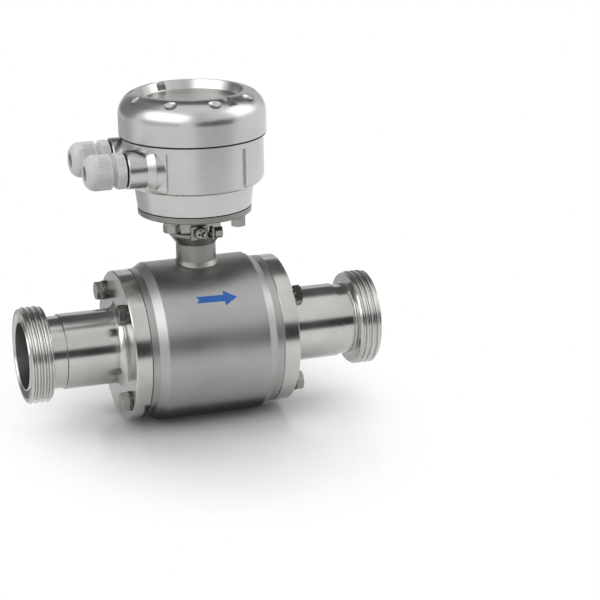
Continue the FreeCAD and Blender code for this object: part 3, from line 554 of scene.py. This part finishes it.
# Union ends: the round thread of six turns to the inch, a helix with rounded crests and roots.
# joint: end of the tail at its weld; back and face: ends of the threaded ring; hold: a narrow
# ring of faces beside an edge, which keeps the shading of a long face flat.
union = {
    "joint": 104.0, "back": 115.5, "face": 132.0, "hold": 0.3, "bore": 24.3,
    "tail": 26.3, "weldBevel": 0.3, "tailFillet": 1.2, "filletSteps": 5,
    "crest": 35.0, "depth": 1.9, "pitch": 25.4 / 6, "roundness": 1.7, "threadStep": 0.26,
    "chamfer": 1.3, "backLead": 0.6,
    "grooveRadius": 30.8, "grooveDepth": 2.4, "grooveEdge": 0.25, "grooveCorner": 0.6,
    "pipeRadius": 25.5, "lipEdge": 0.2, "steps": 240, "smoothAngle": 50,
}


# radius of the thread at a place along the ring and a turn about it, 0 under the axis
def threadRadius(u, along, turn):
    phase = along / u["pitch"] + 1 - turn
    wave = math.tanh(u["roundness"] * math.cos(math.tau * phase)) / math.tanh(u["roundness"])
    return u["crest"] - u["depth"] * (0.5 + 0.5 * wave)


def unionPiece(name, side):
    u = union
    joint, back, face = u["joint"], u["back"], u["face"]
    bore, tail, groove, pipe = u["bore"], u["tail"], u["grooveRadius"], u["pipeRadius"]
    bevel, fillet, hold = u["weldBevel"], u["tailFillet"], u["hold"]
    edge, corner, lip = u["grooveEdge"], u["grooveCorner"], u["lipEdge"]
    root, floor = u["crest"] - u["chamfer"], face - u["grooveDepth"]
    profile = [(joint + hold, bore), (joint, bore), (joint, tail - bevel), (joint + bevel, tail),
               (joint + bevel + hold, tail), (back - fillet - hold, tail)]
    profile += arc((back - fillet, tail + fillet), fillet, -90, 0, u["filletSteps"])
    profile += [(x, root) for x in stretches(back, face, u["threadStep"])]
    profile += [(face, groove + edge), (face - edge, groove), (floor + corner, groove),
                (floor, groove - corner), (floor, pipe + corner), (floor + corner, pipe),
                (face - lip, pipe), (face, pipe - lip), (face, bore + lip), (face - lip, bore),
                (face - lip - hold, bore)]
    bm = spinProfile(profile, u["steps"])
    for vert in bm.verts:
        if abs(distanceFromAxis(vert) - root) < near:
            along = vert.co.x - back
            turn = math.atan2(vert.co.y, -vert.co.z) / math.tau  # right-handed about +X
            lead = root + min(along * u["backLead"], face - vert.co.x)  # chamfer at both ends
            setRadius(vert, min(threadRadius(u, along, turn), lead))
    for facet in bm.faces:
        if all(distanceFromAxis(vert) < bore + near for vert in facet.verts):
            facet.material_index = 1
    if side < 0:
        bmesh.ops.rotate(bm, verts=bm.verts, cent=(0, 0, 0),
                         matrix=Matrix.Rotation(math.pi, 3, "Z"))
    piece = finishPiece(name, bm, [turnedSteel, polishedSteel], u["smoothAngle"], "root")
    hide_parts(name.replace("_thread", "_end"))


unionPiece("outlet_union_thread", 1)
unionPiece("inlet_union_thread", -1)
print("stage: union ends")

# Cable glands: ribbed dome nuts and threaded bodies, both hexagons with a flat facing up.
# y and z: the gland's axis; nutBase and bodyStart: where the two pieces begin along X.
gland = {
    "y": 21.5, "z": 135.0, "nutBase": -67.4, "bodyStart": -57.4, "bore": 10.8, "thread": 10.5,
}
nut = {
    "flats": 24.2, "corner": 12.9, "skirt": 10.4, "length": 18.2, "rim": 0.5, "rimSlope": 0.3,
    "ribs": 66, "ribDepth": 0.5, "ribStart": 0.9, "ribEnd": 10.2, "ribRise": 0.5, "ribFall": 1.2,
    "ribStep": 0.55, "skirtHold": 0.3, "domeSteps": 16, "tip": 7.5, "hole": 5.3,
    "holeEdge": 0.5, "holeEdgeDepth": 0.4, "tipWall": 1.6, "boreDepth": 9.5, "steps": 396,
    "smoothAngle": 45,
}
# firstRound and lastRound: points of the hexagon's rounded ends, each as its distance from that
# end and how far it lies under the corner
glandBody = {
    "flats": 24.0, "corner": 13.3, "hexLength": 6.8,
    "firstRound": [(0, 0.9), (0.5, 0.2), (0.9, 0)],
    "lastRound": [(1.2, 0), (0.7, 0.4), (0, 1.6)],
    "threadEnd": 16.2, "threadPitch": 1.5, "threadDepth": 0.6, "threadRoundness": 1.5,
    "threadStep": 0.19, "threadLead": 0.2, "socket": 8.6, "socketDepth": 12.0, "bore": 6.5,
    "tail": 9.95, "tailLength": 10.2, "tailEdge": 0.6, "steps": 192, "smoothAngle": 40,
}


# from the axis to the side of a hexagon with a flat at turn 0
def hexRadius(turn, flats):
    return flats / 2 / math.cos((turn + math.pi / 6) % (math.pi / 3) - math.pi / 6)


# from a spin about X whose profile ran outward from 0, to the gland's place at the inlet side
def placeGland(bm, side, base):
    bmesh.ops.scale(bm, vec=(-1, 1, 1), verts=bm.verts)
    bmesh.ops.translate(bm, vec=(base, side * gland["y"], gland["z"]), verts=bm.verts)


# how deep the ribs of a nut are cut there
def ribCut(n, along, turn):
    if not n["ribStart"] < along < n["ribEnd"]:
        return 0
    ends = min(1, (along - n["ribStart"]) / n["ribRise"], (n["ribEnd"] - along) / n["ribFall"])
    return n["ribDepth"] * ends * (0.5 + 0.5 * math.cos(n["ribs"] * turn))


def nutPiece(name, side, body):
    n = nut
    bore, corner, skirt = gland["bore"], n["corner"], n["skirt"]
    length, hole = n["length"], n["hole"]
    across, rise = corner - n["tip"], length - skirt
    dome = (across ** 2 + rise ** 2) / (2 * across)  # an arc that leaves the skirt smoothly
    end = math.degrees(math.atan2(dome - across, rise))
    profile = [(n["rimSlope"], bore), (0, corner - n["rim"]), (n["rim"], corner)]
    profile += [(x, corner) for x in stretches(n["ribStart"], skirt - n["skirtHold"], n["ribStep"])]
    profile += arc((skirt, corner - dome), dome, 90, end, n["domeSteps"])
    profile += [(length, hole + n["holeEdge"]), (length - n["holeEdgeDepth"], hole),
                (length - n["tipWall"], hole), (n["boreDepth"], bore)]
    bm = spinProfile(profile, n["steps"])
    for vert in bm.verts:
        radius, along = distanceFromAxis(vert), vert.co.x
        if radius > bore + near or along > skirt:
            turn = math.atan2(vert.co.y, vert.co.z)
            setRadius(vert, min(radius, hexRadius(turn, n["flats"])) - ribCut(n, along, turn))
    placeGland(bm, side, gland["nutBase"])
    piece = finishPiece(name, bm, [glandPlastic], n["smoothAngle"], body)
    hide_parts(name.replace("_dome_nut", "_gland_nut"))


def glandBodyPiece(name, side):
    g = glandBody
    rise, corner, thread, threadEnd = g["hexLength"], g["corner"], gland["thread"], g["threadEnd"]
    start, tail, edge = -g["tailLength"], g["tail"], g["tailEdge"]
    profile = [(start, g["bore"]), (start, tail - edge), (start + edge, tail), (0, tail)]
    profile += [(x, corner - drop) for x, drop in g["firstRound"]]
    profile += [(rise - x, corner - drop) for x, drop in g["lastRound"]]
    profile += [(x, thread) for x in stretches(rise, threadEnd, g["threadStep"])]
    profile += [(threadEnd, g["socket"]), (threadEnd - g["socketDepth"], g["socket"]),
                (threadEnd - g["socketDepth"], g["bore"])]
    bm = spinProfile(profile, g["steps"])
    roundness = g["threadRoundness"]
    for vert in bm.verts:
        radius, along = distanceFromAxis(vert), vert.co.x
        turn = math.atan2(vert.co.y, vert.co.z)
        if radius > thread + near:
            setRadius(vert, min(radius, hexRadius(turn, g["flats"])))
        elif along > rise + g["threadLead"] and abs(radius - thread) < near:
            wave = math.cos(math.tau * along / g["threadPitch"] + turn)
            wave = math.tanh(roundness * wave) / math.tanh(roundness)
            setRadius(vert, radius - g["threadDepth"] * (0.5 - 0.5 * wave))
    placeGland(bm, side, gland["bodyStart"])
    piece = finishPiece(name, bm, [glandPlastic], g["smoothAngle"], "root")
    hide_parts(name.replace("_gland_thread", "_gland_body"))


for sideName, side in (("front", -1), ("rear", 1)):
    nutPiece(sideName + "_dome_nut", side, sideName + "_nut")
    glandBodyPiece(sideName + "_gland_thread", side)
print("stage: cable glands")

# Cover seal: flat ring, squeezed out under the overhang of the cover
seal = {
    "inner": 47.7, "outer": 52.7, "bottom": 152.4, "thickness": 1.4, "corner": 0.45,
    "cornerSteps": 4, "hold": 0.3, "steps": 240, "smoothAngle": 40,
}


def sealPiece():
    s = seal
    inner, top, corner, hold = s["inner"], s["thickness"], s["corner"], s["hold"]
    edge = s["outer"] - corner
    profile = [(0, inner), (0, inner + hold), (0, edge - hold)]
    profile += arc((corner, edge), corner, 180, 90, s["cornerSteps"])
    profile += arc((top - corner, edge), corner, 90, 0, s["cornerSteps"])
    profile += [(top, edge - hold), (top, inner + hold), (top, inner)]
    bm = spinProfile(profile, s["steps"])
    bmesh.ops.rotate(bm, verts=bm.verts, cent=(0, 0, 0),
                     matrix=Matrix.Rotation(-math.pi / 2, 3, "Y"))
    bmesh.ops.translate(bm, vec=(0, 0, s["bottom"]), verts=bm.verts)
    piece = finishPiece("cover_seal_lip", bm, [sealRubber], s["smoothAngle"], "cover_ring")
    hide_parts("cover_seal")


sealPiece()
print("stage: cover seal")

# the finish of each of the record's material slots, and of nodes that differ from their slot
slotMaterials = {
    "blasted_steel": blastedSteel, "turned_steel": turnedSteel, "neck_steel": neckSteel,
    "cast_steel": castSteel, "bolt_steel": boltSteel, "seal_rubber": sealRubber,
    "gland_plastic": glandPlastic, "insert_rubber": insertRubber, "liner_plastic": linerPlastic,
    "insulator_plastic": insulatorPlastic, "coil_wire": coilWire, "soft_iron": softIron,
    "lead_sheath": leadSheath, "board": boardLaminate, "terminal_plastic": terminalPlastic,
    "terminal_brass": platedBrass,
}
ownMaterials = {"inlet_spring_washers": springSteel, "outlet_spring_washers": springSteel}
slotOf = {part["node"]: part["material_slot"] for part in frame["record"]["subparts"]}
for nodeName, solid in frame["nodes"].items():
    solid.data.materials.clear()
    solid.data.materials.append(ownMaterials.get(nodeName) or slotMaterials[slotOf[nodeName]])
print("stage: materials on the frame")

# Flow arrow: one flat print, bent round the barrel. start, notch, head and tip: places along the
# flow; turn: degrees from the front up to its middle line; tilt: its slight slope along X; cuts:
# how often it is cut on each side of that line, to follow the curve.
arrow = {
    "radius": 58.0, "start": -12.7, "notch": -10.6, "head": 7.9, "tip": 17.5, "shaft": 5.2,
    "wings": 12.1, "turn": 43.7, "tilt": 0.025, "thickness": 0.04, "gap": 0.005, "cuts": 10,
    "cutStep": 0.5, "smoothAngle": 40,
}


def arrowPiece():
    a = arrow
    start, head, half, wing = a["start"], a["head"], a["shaft"] / 2, a["wings"] / 2
    outline = [(start, -half), (head, -half), (head, -wing), (a["tip"], 0), (head, wing),
               (head, half), (start, half), (a["notch"], 0)]
    bm = bmesh.new()
    bm.faces.new([bm.verts.new((x, y, 0)) for x, y in outline])
    for i in range(-a["cuts"], a["cuts"] + 1):
        bmesh.ops.bisect_plane(bm, geom=bm.verts[:] + bm.edges[:] + bm.faces[:],
                               plane_co=(0, i * a["cutStep"], 0), plane_no=(0, 1, 0))
    bmesh.ops.solidify(bm, geom=bm.faces[:], thickness=a["thickness"])
    lowest = min(vert.co.z for vert in bm.verts)
    for vert in bm.verts:
        turn = math.radians(a["turn"]) + (vert.co.y - a["tilt"] * vert.co.x) / a["radius"]
        radius = a["radius"] + vert.co.z - lowest + a["gap"]
        vert.co = (vert.co.x, -radius * math.cos(turn), radius * math.sin(turn))
    finishPiece("flow_arrow", bm, [printInk], a["smoothAngle"], "root")


arrowPiece()
print("stage: arrow")
